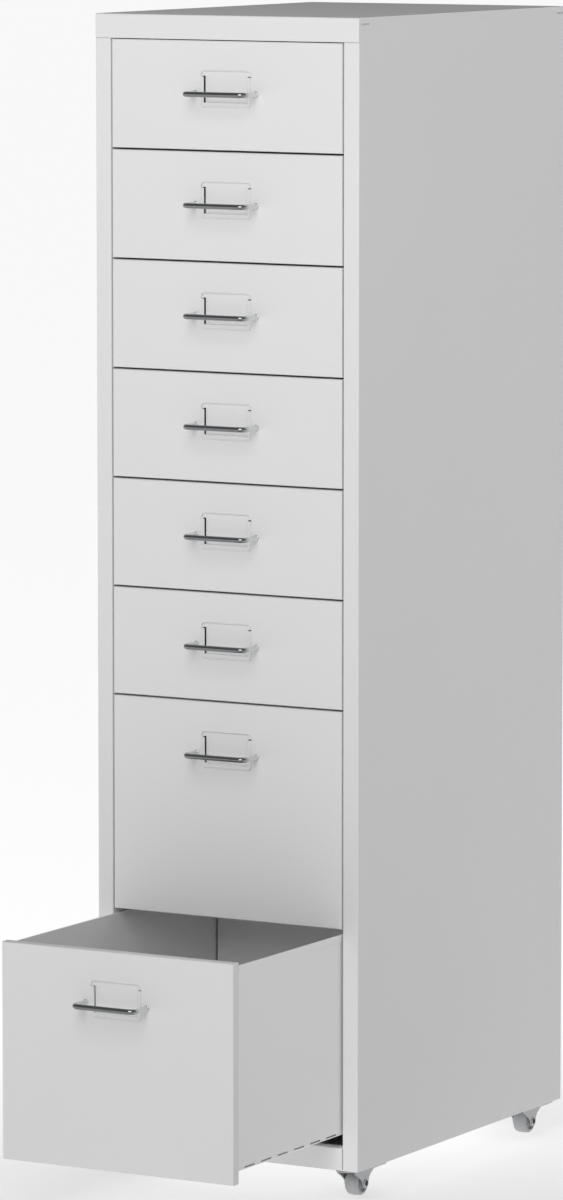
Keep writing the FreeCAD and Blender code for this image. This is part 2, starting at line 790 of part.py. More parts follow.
def handle_screws(place):
    """Two hexagon-head screws from inside the front into the handle's legs."""
    label = f"drawer_{place[0]}_handle_screws"
    body = at_drawer(label, place, grip_height(place))
    middles = [f"{side} * Sizes.handle_span / 2" for side in (-1, 1)]
    heads = [hexagon(x, "0", "Sizes.screw_head / 2") for x in middles]
    shanks = [(x, "0", "Sizes.screw_shank / 2") for x in middles]
    face = "-Sizes.front_sheet"
    head_sketch = new_sketch(body, f"{label}_head_shapes", "XZ_Plane", heads, offset=face)
    extrude(body, "Pad", f"{label}_heads", head_sketch, "Sizes.screw_head_height", True)
    shank_sketch = new_sketch(body, f"{label}_shank_shapes", "XZ_Plane", [], shanks, offset=face)
    length = "Sizes.front_sheet + Sizes.screw_depth - 2 * Sizes.screw_clearance"
    extrude(body, "Pad", f"{label}_shanks", shank_sketch, length)
    return body


def at_swivel(label, place, y="0", z="0"):
    """A body whose origin is on the floor, on a caster's swivel axis."""
    _, across, along = place
    return new_body(label, across, f"Fits.front_plane + {along} + {y}", z)


def caster_plate(place):
    """A mounting plate with rounded corners, welded under the base, with the pivot hole."""
    label = f"caster_{place[0]}_plate"
    body = at_swivel(label, place)
    corner = "Sizes.plate_corner"
    outline = [
        (*spot, corner)
        for spot in rectangle(
            "-Sizes.plate_width / 2",
            "Sizes.plate_width / 2",
            "-Sizes.plate_length / 2",
            "Sizes.plate_length / 2",
        )
    ]
    under = "Sizes.caster_height - Sizes.plate_thickness"
    pivot = ("0", "0", "Sizes.kingpin / 2")
    sketch = new_sketch(body, f"{label}_shape", "XY_Plane", [outline], [pivot], offset=under)
    extrude(body, "Pad", f"{label}_blank", sketch, "Sizes.plate_thickness")
    return body


def kingpins():
    """The riveted pins on which the four forks turn."""
    body = at_carcass("caster_kingpins")
    below = "Sizes.plate_thickness + Sizes.bearing_height + Sizes.swivel_clearance"
    head_top = f"-({below} + Sizes.fork_sheet + Sizes.swivel_clearance)"
    heads = [(x, y, "Sizes.kingpin_head / 2") for _, x, y in swivel_places()]
    shanks = [(x, y, "Sizes.kingpin / 2") for _, x, y in swivel_places()]
    head_foot = f"{head_top} - Sizes.kingpin_head_height"
    head_sketch = new_sketch(body, "kingpin_head_shapes", "XY_Plane", [], heads, offset=head_foot)
    extrude(body, "Pad", "kingpin_heads", head_sketch, "Sizes.kingpin_head_height")
    shank_sketch = new_sketch(body, "kingpin_shank_shapes", "XY_Plane", [], shanks, offset=head_top)
    extrude(body, "Pad", "kingpin_shanks", shank_sketch, f"-({head_top})")
    return body


def swivel_bearings():
    """The bearing rings between the plates and the forks."""
    body = at_carcass("caster_swivel_bearings")
    rings = []
    for _, x, y in swivel_places():
        rings.append((x, y, "Sizes.bearing_outer / 2"))
        rings.append((x, y, "Sizes.bearing_inner / 2"))
    foot = "-(Sizes.plate_thickness + Sizes.bearing_height)"
    sketch = new_sketch(body, "bearing_ring_shapes", "XY_Plane", [], rings, offset=foot)
    extrude(body, "Pad", "bearing_rings", sketch, "Sizes.bearing_height")
    return body


def caster_fork(place):
    """A stamped fork: crown and two legs that taper in curves to the axle behind the pivot."""
    label = f"caster_{place[0]}_fork"
    body = at_swivel(label, place)
    half = "Sizes.fork_length / 2"
    crown = "Fits.crown_top"
    axle = "Fits.axle_height"
    tip = "Sizes.fork_tip"
    trail = "Sizes.caster_trail"
    leg = [
        (f"-{half}", "Sizes.fork_hip_height", None, "Sizes.fork_belly"),
        (f"{trail} - {tip}", axle),
        (f"{trail} - {tip}", f"{axle} - {tip}", "Sizes.fork_tip_round"),
        (f"{trail} + {tip}", f"{axle} - {tip}", "Sizes.fork_tip_round"),
        (f"{trail} + {tip}", axle),
        (half, "Sizes.fork_hip_height"),
        (half, crown),
        (f"-{half}", crown),
    ]
    side = "Sizes.fork_width / 2"
    sketch = new_sketch(body, f"{label}_side_shape", "YZ_Plane", [leg], offset=f"-{side}")
    extrude(body, "Pad", f"{label}_block", sketch, "Sizes.fork_width")
    inside = f"({side} - Sizes.fork_sheet)"
    room = rectangle(f"-{inside}", inside, "0", f"{crown} - Sizes.fork_sheet")
    room_sketch = new_sketch(body, f"{label}_room_shape", "XZ_Plane", [room], offset=half)
    cut(body, f"{label}_room", room_sketch, "Sizes.fork_length", False)
    bore = "Sizes.axle / 2 + Sizes.running_fit"
    axle_sketch = new_sketch(
        body, f"{label}_axle_shape", "YZ_Plane", [], [(trail, axle, bore)], offset=f"-{side}"
    )
    cut(body, f"{label}_axle_holes", axle_sketch, "Sizes.fork_width", True)
    pivot = "Sizes.kingpin / 2 + Sizes.running_fit"
    pivot_sketch = new_sketch(
        body, f"{label}_pivot_shape", "XY_Plane", [], [("0", "0", pivot)], offset=crown
    )
    cut(body, f"{label}_pivot_hole", pivot_sketch, "2 * Sizes.fork_sheet", False)
    return body


def caster_axle(place):
    """A riveted pin through the fork and the wheel."""
    label = f"caster_{place[0]}_axle"
    body = at_swivel(label, place, "Sizes.caster_trail", "Fits.axle_height")
    half = "Sizes.fork_width / 2"
    shank = ("0", "0", "Sizes.axle / 2")
    shank_sketch = new_sketch(body, f"{label}_pin", "YZ_Plane", [], [shank], offset=f"-{half}")
    extrude(body, "Pad", f"{label}_shank", shank_sketch, "Sizes.fork_width")
    head = ("0", "0", "Sizes.axle_head / 2")
    head_sketch = new_sketch(body, f"{label}_head_ring", "YZ_Plane", [], [head], offset=half)
    head_pad = extrude(body, "Pad", f"{label}_head", head_sketch, "Sizes.axle_head_height")
    mirror_x(body, f"{label}_left_head", [head_pad])
    return body


def caster_wheel(place):
    """A moulded barrel wheel, turned about X."""
    label = f"caster_{place[0]}_wheel"
    body = at_swivel(label, place, "Sizes.caster_trail", "Fits.axle_height")
    half = "Sizes.wheel_width / 2"
    rim = "Sizes.wheel_diameter / 2"
    bore = "Sizes.axle / 2 + Sizes.running_fit"
    chamfer = "Sizes.wheel_chamfer"
    section = [
        (f"-{half}", bore),
        (half, bore),
        (half, f"{rim} - {chamfer}"),
        (f"{half} - {chamfer}", rim),
        (f"{chamfer} - {half}", rim),
        (f"-{half}", f"{rim} - {chamfer}"),
    ]
    sketch = new_sketch(body, f"{label}_section", "XY_Plane", [section])
    turned = body.newObject("PartDesign::Revolution", f"{label}_turned")
    turned.Profile = sketch
    turned.ReferenceAxis = (sketch, ["H_Axis"])
    turned.Angle = 360
    body.Tip = turned
    doc.recompute()
    return body


def build():
    """Every sub-part of the cabinet."""
    parts = [
        side_panel("side_panel_left", -1),
        side_panel("side_panel_right", 1),
        top_panel(),
        base_panel(),
        back_panel(),
        runners("runners_left", -1),
        runners("runners_right", 1),
        kingpins(),
        swivel_bearings(),
    ]
    for place in drawer_places():
        parts += [drawer_front(place), drawer_tray(place), drawer_handle(place), handle_screws(place)]
    for place in swivel_places():
        parts += [caster_plate(place), caster_fork(place), caster_axle(place), caster_wheel(place)]
    return parts


def check_and_write(parts):
    """Stop at any failed object or bad shape, then write one file for each sub-part."""
    doc.recompute()
    for item in doc.Objects:
        if {"Invalid", "Error"} & set(item.State):
            raise RuntimeError(f"{item.Label}: {item.State}")
    for part in parts:
        if part.Shape.isNull() or not part.Shape.isValid() or not part.Shape.Solids:
            raise RuntimeError(f"{part.Label} has no valid shape")
    os.makedirs("parts", exist_ok=True)
    for part in parts:
        part.Shape.exportStep(f"parts/{part.Label}.step")
        print(part.Label, len(part.Shape.Solids), round(part.Shape.Volume))


check_and_write(build())
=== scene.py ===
"""Dresses a mobile drawer cabinet: powder-coated sheet steel, bent wire handles and small casters.

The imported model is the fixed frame. Its sheet-metal parts keep their shape and get a finish,
and the small turned, bent and moulded parts are made here as smooth surfaces in their place.
"""

import math

import bmesh
import bpy
import numpy as np
from mathutils import Matrix, Vector


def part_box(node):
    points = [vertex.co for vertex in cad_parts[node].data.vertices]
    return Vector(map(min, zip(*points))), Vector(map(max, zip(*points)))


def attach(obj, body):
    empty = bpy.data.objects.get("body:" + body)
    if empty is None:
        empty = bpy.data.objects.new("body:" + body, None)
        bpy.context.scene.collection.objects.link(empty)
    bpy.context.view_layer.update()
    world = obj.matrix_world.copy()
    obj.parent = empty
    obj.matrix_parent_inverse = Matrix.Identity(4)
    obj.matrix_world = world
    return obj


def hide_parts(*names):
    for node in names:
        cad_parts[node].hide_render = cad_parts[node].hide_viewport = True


bl_info = {
    "name": "Mobile drawer cabinet",
    "version": (1, 0, 0),
    "blender": (4, 5, 0),
    "location": "3D View > Sidebar > Cabinet",
    "description": "Finishes, wire handles and casters for a mobile drawer cabinet",
    "category": "Object",
}

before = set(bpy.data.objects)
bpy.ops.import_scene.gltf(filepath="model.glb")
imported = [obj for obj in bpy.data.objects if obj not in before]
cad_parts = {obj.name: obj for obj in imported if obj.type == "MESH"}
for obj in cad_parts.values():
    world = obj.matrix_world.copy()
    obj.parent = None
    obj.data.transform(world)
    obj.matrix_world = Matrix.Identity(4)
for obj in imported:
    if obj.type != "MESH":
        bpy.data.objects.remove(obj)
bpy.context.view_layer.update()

MM = 0.001
DRAWERS = range(1, 9)
CASTERS = ("front_left", "front_right", "rear_left", "rear_right")

# Handles: each foot is upset to a collar, which narrows again over COLLAR_STEPS from its end.
COLLAR_STEPS = (1.0 * MM, 1.3 * MM, 1.35 * MM)
COLLAR_SWELL = 1.16
COLLAR_SHOULDER = 1.08
WIRE_SIDES = 32

# Label holders: measured down from the top edge of a front, or out from its middle.
HOLDER_HALF = 26.5 * MM
HOLDER_INNER_HALF = 23.1 * MM
HOLDER_TOP = 27.6 * MM
HOLDER_HEIGHT = 33.4 * MM
LIP_START = 5.3 * MM
SILL_DROP = 28.7 * MM
RECESS_DEPTH = 0.9 * MM

# Trays: the hems end HEM_DROP below the top and HEM_SETBACK short of both ends.
STOP_REACH = 2.6 * MM
HEM_DROP = 6 * MM
HEM_SETBACK = 4 * MM

# Wheels and rivets, as radii and depths.
WHEEL_BORE = 2.6 * MM
WHEEL_HUB = 4.6 * MM
RIM_HEIGHT = 3.4 * MM
DISH_SLOPE = 0.6 * MM
TREAD_CROWN = 0.35 * MM
RIVET_SHANK = 2.5 * MM
RIVET_HEAD = 0.8 * MM
PIT_RADIUS = 2.6 * MM
PIT_DEPTH = 0.7 * MM
PIT_SLOPE = 0.2 * MM

# Forks: the legs flare from the axle up to HIP_DROP below the crown.
HIP_DROP = 4.6 * MM
FRONT_FLARE = 1.5
REAR_FLARE = 2.4
FORK_BURR = 0.25 * MM

# Studio: lengths in metres, angles in degrees.
FLOOR_REACH = 400
FLOOR_DROP = 0.2 * MM
SKY_STRENGTH = 0.22
SOFTBOX_SIZE = (1.8, 2.4)
SOFTBOX_WATTS = 49
SOFTBOX_SPOT = (0.84, -2.75, 2.2)
SOFTBOX_AIM = (0, 0, 0.8)
CAMERA_SPOT = (3.0365, -5.3037, 1.27875)
CAMERA_TURN = 29.742
CAMERA_TILT = 6.856
CAMERA_LENS = 197.9
CAMERA_RANGE = 900


def linear(code):
    """Turns an sRGB hex value such as "#DEDFDF" to linear red, green, blue and alpha."""
    values = np.array([int(code[i : i + 2], 16) for i in (1, 3, 5)]) / 255
    curved = ((values + 0.055) / 1.055) ** 2.4
    return (*np.where(values <= 0.04045, values / 12.92, curved).tolist(), 1.0)


def middle(node):
    """Gives the middle and the half size of a node's box at rest, in metres."""
    low, high = (np.array(corner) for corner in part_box(node))
    return (low + high) / 2, (high - low) / 2


class CabinetSizes(bpy.types.PropertyGroup):
    """Sizes of the pieces that are made here."""

    wire: bpy.props.FloatProperty(
        name="Handle wire",
        description="Diameter of the wire that the handles are bent from",
        default=5 * MM,
        unit="LENGTH",
    )
    wire_bend: bpy.props.FloatProperty(
        name="Handle bend",
        description="Bend radius of the handle, at the middle of the wire",
        default=6.5 * MM,
        unit="LENGTH",
    )
    tread_round: bpy.props.FloatProperty(
        name="Tread rounding",
        description="Radius between the tread and the sides of a caster wheel",
        default=3.2 * MM,
        unit="LENGTH",
    )
    wheel_dish: bpy.props.FloatProperty(
        name="Wheel dish",
        description="How far the face of a caster wheel is sunk between rim and hub",
        default=2.6 * MM,
        unit="LENGTH",
    )
    bead: bpy.props.FloatProperty(
        name="Edge bead",
        description="Width of the rolled bead on the label holders",
        default=0.9 * MM,
        unit="LENGTH",
    )
    hem_bead: bpy.props.FloatProperty(
        name="Hem bead",
        description="Width of the folded edge that ends the hems of the trays",
        default=1.5 * MM,
        unit="LENGTH",
    )
    fork_shoulder: bpy.props.FloatProperty(
        name="Fork shoulder",
        description="Outer bend radius between the crown and the legs of a fork",
        default=2.6 * MM,
        unit="LENGTH",
    )
    fork_sheet: bpy.props.FloatProperty(
        name="Fork sheet",
        description="Thickness of the steel that the forks are stamped from",
        default=1.5 * MM,
        unit="LENGTH",
    )


class CabinetFinishes(bpy.types.PropertyGroup):
    """Colours of the finishes and of the studio floor."""

    coat: bpy.props.FloatVectorProperty(
        name="Powder coat",
        description="Colour of the baked powder coat on the sheet steel",
        subtype="COLOR",
        size=4,
        default=linear("#EAEAEA"),
    )
    # Painted fill light: the trays get a lighter copy of the same powder coat, so the insides of
    # the drawers look lighter than their lamps make them.
    tray_coat_painted_fill: bpy.props.FloatVectorProperty(
        name="Tray coat",
        description="Colour of the powder coat on the trays, which light hasn't dulled",
        subtype="COLOR",
        size=4,
        default=linear("#F6F6F6"),
    )
    chrome: bpy.props.FloatVectorProperty(
        name="Chrome",
        description="Reflection colour of the chrome on the handles",
        subtype="COLOR",
        size=4,
        default=linear("#DEDFE0"),
    )
    # Painted reflection: the middle of each handle gets this darker chrome colour, standing for
    # dark surroundings mirrored in it.
    grip_painted_reflection: bpy.props.FloatVectorProperty(
        name="Grip",
        description="Reflection colour of the chrome where the handles are held",
        subtype="COLOR",
        size=4,
        default=linear("#8A8C8E"),
    )
    zinc: bpy.props.FloatVectorProperty(
        name="Zinc",
        description="Reflection colour of the zinc on the screws and caster fittings",
        subtype="COLOR",
        size=4,
        default=linear("#C6C7CA"),
    )
    nylon: bpy.props.FloatVectorProperty(
        name="Wheel nylon",
        description="Colour of the moulded caster wheels",
        subtype="COLOR",
        size=4,
        default=linear("#B6B7B8"),
    )
    # Painted shade: this dark colour goes into the pit of each rivet and stands for the shade in
    # its hollow end.
    pit_shade: bpy.props.FloatVectorProperty(
        name="Grease",
        description="Colour of the grease and dust in the ends of the rivets",
        subtype="COLOR",
        size=4,
        default=linear("#3A3836"),
    )
    floor: bpy.props.FloatVectorProperty(
        name="Floor",
        description="Colour of the studio floor",
        subtype="COLOR",
        size=4,
        default=linear("#C2C2C2"),
    )


def add_node(tree, kind, values=None, links=None):
    """Adds one node to a tree, sets its sockets and settings, and links its inputs."""
    node = tree.nodes.new(kind)
    for key, value in (values or {}).items():
        if isinstance(key, int) or key in node.inputs:
            node.inputs[key].default_value = value
        else:
            setattr(node, key, value)
    for key, source in (links or {}).items():
        tree.links.new(source, node.inputs[key])
    return node


def new_material(name):
    """Starts a material and gives its tree, its surface shader and its Object coordinates."""
    old = bpy.data.materials.get(name)
    if old:
        bpy.data.materials.remove(old)
    material = bpy.data.materials.new(name)
    material.use_nodes = True
    tree = material.node_tree
    surface = tree.nodes["Principled BSDF"]
    place = add_node(tree, "ShaderNodeTexCoord").outputs["Object"]
    return material, tree, surface, place


def shade_between(tree, pattern, colour, darkest, lightest):
    """Links a pattern to a multiple of the colour, from its darkest to its lightest share."""
    mixed = add_node(tree, "ShaderNodeMix", {"data_type": "RGBA"})
    for socket, share in ((6, darkest), (7, lightest)):
        shaded = tuple(share * channel for channel in colour[:3])
        mixed.inputs[socket].default_value = (*shaded, 1.0)
    tree.links.new(pattern, mixed.inputs[0])
    return mixed.outputs[2]


def powder_coated_sheet_steel(name, colour):
    """Polyester powder baked on cold-rolled sheet: a satin skin with a fine orange peel.

    The skin is seen as soft, wide highlights that break up slightly, and the coat is a touch
    thicker, so lighter, in broad clouds. Real orange peel is about 1 mm across and is drawn at
    3 mm, because a finer one doesn't show at this distance.
    """
    material, tree, surface, place = new_material(name)
    clouds = add_node(
        tree,
        "ShaderNodeTexNoise",
        {"Scale": 1 / 0.16, "Detail": 2.0},
        {"Vector": place},
    )
    peel = add_node(
        tree,
        "ShaderNodeTexNoise",
        {"Scale": 1 / 0.003, "Detail": 1.5},
        {"Vector": place},
    )
    gloss = add_node(
        tree,
        "ShaderNodeMapRange",
        {"To Min": 0.46, "To Max": 0.54},
        {"Value": peel.outputs[0]},
    )
    bump = add_node(
        tree,
        "ShaderNodeBump",
        {"Strength": 0.12, "Distance": 0.02 * MM},
        {"Height": peel.outputs[0]},
    )
    tint = shade_between(tree, clouds.outputs[0], colour, 0.985, 1.01)
    tree.links.new(tint, surface.inputs["Base Color"])
    tree.links.new(gloss.outputs[0], surface.inputs["Roughness"])
    tree.links.new(bump.outputs[0], surface.inputs["Normal"])
    surface.inputs["IOR"].default_value = 1.5
    return material


def chrome_plated_wire(colour, painted_dark_reflection):
    """Drawn steel wire, bent, polished and chrome plated: a near mirror.

    The plating keeps faint lines that run along the wire, 0.3 mm apart and drawn out over
    30 mm, which the eye sees as a highlight that is a little longer than it is wide. Up to
    29 mm from the middle the chrome's colour is painted darker than on the legs, which start
    at 37 mm: a painted reflection of dark surroundings, not a darker chrome.
    """
    material, tree, surface, _ = new_material("chrome_plated_wire")
    along = add_node(tree, "ShaderNodeUVMap", {"uv_map": "wire"}).outputs[0]
    stretch = add_node(
        tree, "ShaderNodeMapping", {"Scale": (1 / 0.03, 1 / 0.0003, 1.0)}, {"Vector": along}
    )
    lines = add_node(
        tree, "ShaderNodeTexNoise", {"Scale": 1.0, "Detail": 2.0}, {"Vector": stretch.outputs[0]}
    )
    gloss = add_node(
        tree,
        "ShaderNodeMapRange",
        {"To Min": 0.08, "To Max": 0.16},
        {"Value": lines.outputs[0]},
    )
    from_middle = add_node(tree, "ShaderNodeSeparateXYZ", None, {"Vector": along}).outputs["X"]
    away = add_node(tree, "ShaderNodeMath", {"operation": "ABSOLUTE"}, {0: from_middle})
    leg = add_node(
        tree,
        "ShaderNodeMapRange",
        {"interpolation_type": "SMOOTHSTEP", "From Min": 0.029, "From Max": 0.037},
        {"Value": away.outputs[0]},
    )
    # The middle of the handle is painted darker: a painted reflection of dark surroundings.
    grip_painted_reflection = shade_between(tree, lines.outputs[0], painted_dark_reflection, 0.94, 1.0)
    bright = shade_between(tree, lines.outputs[0], colour, 0.96, 1.0)
    tint = add_node(tree, "ShaderNodeMix", {"data_type": "RGBA"})
    tree.links.new(leg.outputs[0], tint.inputs[0])
    tree.links.new(grip_painted_reflection, tint.inputs[6])
    tree.links.new(bright, tint.inputs[7])
    tree.links.new(tint.outputs[2], surface.inputs["Base Color"])
    tree.links.new(gloss.outputs[0], surface.inputs["Roughness"])
    surface.inputs["Metallic"].default_value = 1.0
    return material


def zinc_plated_steel(colour):
    """Bright zinc on small turned and stamped fittings: a grey metal with a soft, cloudy sheen.

    Zinc crystals and handling marks, drawn at 2.5 mm, change how sharp the reflections are.
    """
    material, tree, surface, place = new_material("zinc_plated_steel")
    clouds = add_node(
        tree,
        "ShaderNodeTexNoise",
        {"Scale": 1 / 0.0025, "Detail": 3.0},
        {"Vector": place},
    )
    gloss = add_node(
        tree,
        "ShaderNodeMapRange",
        {"To Min": 0.28, "To Max": 0.44},
        {"Value": clouds.outputs[0]},
    )
    tint = shade_between(tree, clouds.outputs[0], colour, 0.86, 1.04)
    tree.links.new(tint, surface.inputs["Base Color"])
    tree.links.new(gloss.outputs[0], surface.inputs["Roughness"])
    surface.inputs["Metallic"].default_value = 1.0
    return material


def painted_pit_shade(colour):
    """The pit in the end of a rivet, coloured dark and patchy: painted shade in its hollow end.

    A mottle about 0.6 mm across changes both its tone and its shine, and at a distance it is
    the dark dot in the middle of each rivet, where the hollow end is shaded.
    """
    material, tree, surface, place = new_material("painted_pit_shade")
    pit_mottle = add_node(
        tree,
        "ShaderNodeTexNoise",
        {"Scale": 1 / 0.0006, "Detail": 2.0},
        {"Vector": place},
    )
    gloss = add_node(
        tree,
        "ShaderNodeMapRange",
        {"To Min": 0.35, "To Max": 0.8},
        {"Value": pit_mottle.outputs[0]},
    )
    tint = shade_between(tree, pit_mottle.outputs[0], colour, 0.7, 1.3)
    tree.links.new(tint, surface.inputs["Base Color"])
    tree.links.new(gloss.outputs[0], surface.inputs["Roughness"])
    surface.inputs["IOR"].default_value = 1.48
    return material


def stamped_fork_steel(colour):
    """Sheet steel stamped to a fork and zinc plated dull: matt, with faint draw lines.

    The press leaves lines down the legs about 0.8 mm apart, seen as a light vertical streak.
    """
    material, tree, surface, place = new_material("stamped_fork_steel")
    upright = add_node(
        tree, "ShaderNodeMapping", {"Scale": (1 / 0.0008, 1 / 0.0008, 1 / 0.012)}, {"Vector": place}
    )
    lines = add_node(
        tree, "ShaderNodeTexNoise", {"Scale": 1.0, "Detail": 2.0}, {"Vector": upright.outputs[0]}
    )
    gloss = add_node(
        tree,
        "ShaderNodeMapRange",
        {"To Min": 0.42, "To Max": 0.58},
        {"Value": lines.outputs[0]},
    )
    tint = shade_between(tree, lines.outputs[0], colour, 0.88, 1.02)
    tree.links.new(tint, surface.inputs["Base Color"])
    tree.links.new(gloss.outputs[0], surface.inputs["Roughness"])
    surface.inputs["Metallic"].default_value = 0.75
    return material


def moulded_nylon(colour):
    """Nylon moulded in one shot: a waxy light grey with a fine eroded grain.

    The grain of the mould is about 0.5 mm across and is drawn at 0.9 mm. It takes the edge
    off the highlights without hiding the rounded shape of the tread.
    """
    material, tree, surface, place = new_material("moulded_nylon")
    grain = add_node(
        tree,
        "ShaderNodeTexNoise",
        {"Scale": 1 / 0.0009, "Detail": 2.0},
        {"Vector": place},
    )
    smudge = add_node(
        tree,
        "ShaderNodeTexNoise",
        {"Scale": 1 / 0.012, "Detail": 2.0},
        {"Vector": place},
    )
    gloss = add_node(
        tree,
        "ShaderNodeMapRange",
        {"To Min": 0.42, "To Max": 0.56},
        {"Value": grain.outputs[0]},
    )
    bump = add_node(
        tree,
        "ShaderNodeBump",
        {"Strength": 0.25, "Distance": 0.03 * MM},
        {"Height": grain.outputs[0]},
    )
    tint = shade_between(tree, smudge.outputs[0], colour, 0.93, 1.03)
    tree.links.new(tint, surface.inputs["Base Color"])
    tree.links.new(gloss.outputs[0], surface.inputs["Roughness"])
    tree.links.new(bump.outputs[0], surface.inputs["Normal"])
    surface.inputs["IOR"].default_value = 1.53
    return material


def matt_studio_board(colour):
    """Painted board of a photographer's floor: matt, pale, with a barely visible mottle.

    Its background is lit apart from the object, which is drawn as a glow of the board that
    rises from 1 to 2.8 m from a spot in front of the object.
    """
    material, tree, surface, place = new_material("matt_studio_board")
    mottle = add_node(
        tree,
        "ShaderNodeTexNoise",
        {"Scale": 1 / 0.35, "Detail": 2.0},
        {"Vector": place},
    )
    tint = shade_between(tree, mottle.outputs[0], colour, 0.99, 1.0)
    tree.links.new(tint, surface.inputs["Base Color"])
    surface.inputs["Roughness"].default_value = 0.9
    surface.inputs["Specular IOR Level"].default_value = 0.1
    distance = add_node(
        tree, "ShaderNodeVectorMath", {"operation": "DISTANCE", 1: (0.9, -1.6, 0.0)}, {0: place}
    )
    glow = add_node(
        tree,
        "ShaderNodeMapRange",
        {
            "interpolation_type": "SMOOTHSTEP",
            "From Min": 1.0,
            "From Max": 2.8,
            "To Min": 0.34,
            "To Max": 0.82,
        },
        {"Value": distance.outputs["Value"]},
    )
    surface.inputs["Emission Color"].default_value = (1.0, 1.0, 1.0, 1.0)
    tree.links.new(glow.outputs[0], surface.inputs["Emission Strength"])
    return material


def surface_from_grid(name, points, closed_across, caps=True):
    """Makes a mesh from a grid of points: rows along the shape, columns around or across it.

    Point (i, j) becomes vertex i * columns + j, and each cell of the grid becomes one face.
    Where closed_across is true the last column joins the first, and with caps the first and
    the last row are each closed by one face.
    """
    rows, columns = points.shape[:2]
    numbers = np.arange(rows * columns).reshape(rows, columns)
    if closed_across:
        here, there = numbers, np.roll(numbers, -1, axis=1)
    else:
        here, there = numbers[:, :-1], numbers[:, 1:]
    cells = np.stack([here[:-1], there[:-1], there[1:], here[1:]], axis=-1).reshape(-1, 4).tolist()
    if caps:
        cells += [numbers[0][::-1].tolist(), numbers[-1].tolist()]
    mesh = bpy.data.meshes.new(name)
    mesh.from_pydata(points.reshape(-1, 3).tolist(), [], cells)
    return mesh


def finish_mesh(mesh, merge=True, sharp=None):
    """Merges doubles, turns the faces outwards and shades the mesh smooth up to a sharp angle."""
    work = bmesh.new()
    work.from_mesh(mesh)
    if merge:
        bmesh.ops.remove_doubles(work, verts=work.verts, dist=1e-6)
    bmesh.ops.recalc_face_normals(work, faces=work.faces)
    work.to_mesh(mesh)
    work.free()
    mesh.shade_smooth()
    if sharp:
        mesh.set_sharp_from_angle(angle=sharp)
    mesh.update()
    return mesh


def place_piece(name, mesh, material, body, slot, *nodes):
    """Puts a mesh into the scene as one piece that rides on a body in place of its CAD nodes."""
    old = bpy.data.objects.get(name)
    if old:
        bpy.data.objects.remove(old)
    piece = bpy.data.objects.new(name, mesh)
    bpy.context.scene.collection.objects.link(piece)
    mesh.materials.append(material)
    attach(piece, body)
    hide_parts(*nodes)
    return piece


def turned_about_x(name, centre, profile, steps):
    """A turned part: the profile (x, r) goes round an axis that runs along X.

    Point (i, j) = centre + (x_i, r_i cos a_j, r_i sin a_j), with a_j evenly spaced over a turn.
    """
    along, radius = np.array(profile).T
    angle = np.linspace(0, 2 * math.pi, steps, endpoint=False)
    x = np.repeat(along[:, None], steps, axis=1)
    y = radius[:, None] * np.cos(angle)
    z = radius[:, None] * np.sin(angle)
    return surface_from_grid(name, np.stack([x, y, z], axis=-1) + centre, True, caps=False)


def rounded(corners, radii, steps=6):
    """A path through the corners with each one rounded by an arc tangent to both its sides.

    A corner P with unit directions a and b to its neighbours and the angle t between them has
    its arc's centre at P + (a + b) / |a + b| * r / sin(t / 2), and the arc runs between the
    feet of that centre on the two sides.
    """
    corners = np.array(corners, dtype=float)
    path = [corners[:1]]
    for before, corner, after, radius in zip(corners, corners[1:], corners[2:], radii):
        a = (before - corner) / np.linalg.norm(before - corner)
        b = (after - corner) / np.linalg.norm(after - corner)
        half = math.acos(np.clip(a @ b, -1, 1)) / 2
        centre = corner + (a + b) / np.linalg.norm(a + b) * radius / math.sin(half)
        start = corner + a * radius / math.tan(half) - centre
        end = corner + b * radius / math.tan(half) - centre
        sweep = math.pi - 2 * half
        share = np.linspace(0, 1, steps + 1)[:, None]
        arc = (np.sin((1 - share) * sweep) * start + np.sin(share * sweep) * end) / math.sin(sweep)
        path.append(centre + arc)
    path.append(corners[-1:])
    return np.concatenate(path)


class CABINET_OT_coat_sheet_steel(bpy.types.Operator):
    """Gives every sheet-metal part of the cabinet its powder coat"""

    bl_idname = "cabinet.coat_sheet_steel"
    bl_label = "Coat Sheet Steel"

    def execute(self, context):
        finishes = context.scene.cabinet_finishes
        coat = powder_coated_sheet_steel("powder_coated_sheet_steel", finishes.coat)
        # The trays get the lighter copy of the coat: painted fill light inside the drawers.
        tray_coat_painted_fill = powder_coated_sheet_steel("powder_coated_tray_steel_painted_fill", finishes.tray_coat_painted_fill)
        endings = ("_panel", "_left", "_right", "_front", "_tray")
        for name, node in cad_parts.items():
            if name.endswith(endings) and not name.startswith("caster_"):
                node.data.materials.clear()
                node.data.materials.append(tray_coat_painted_fill if name.endswith("_tray") else coat)
        return {"FINISHED"}


class CABINET_OT_plate_fittings(bpy.types.Operator):
    """Gives the caster plates, pins, bearings and handle screws their zinc"""

    bl_idname = "cabinet.plate_fittings"
    bl_label = "Plate Fittings"

    def execute(self, context):
        zinc = zinc_plated_steel(context.scene.cabinet_finishes.zinc)
        endings = ("_plate", "_kingpins", "_bearings", "_handle_screws")
        for name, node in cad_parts.items():
            if name.endswith(endings):
                node.data.materials.clear()
                node.data.materials.append(zinc)
        return {"FINISHED"}


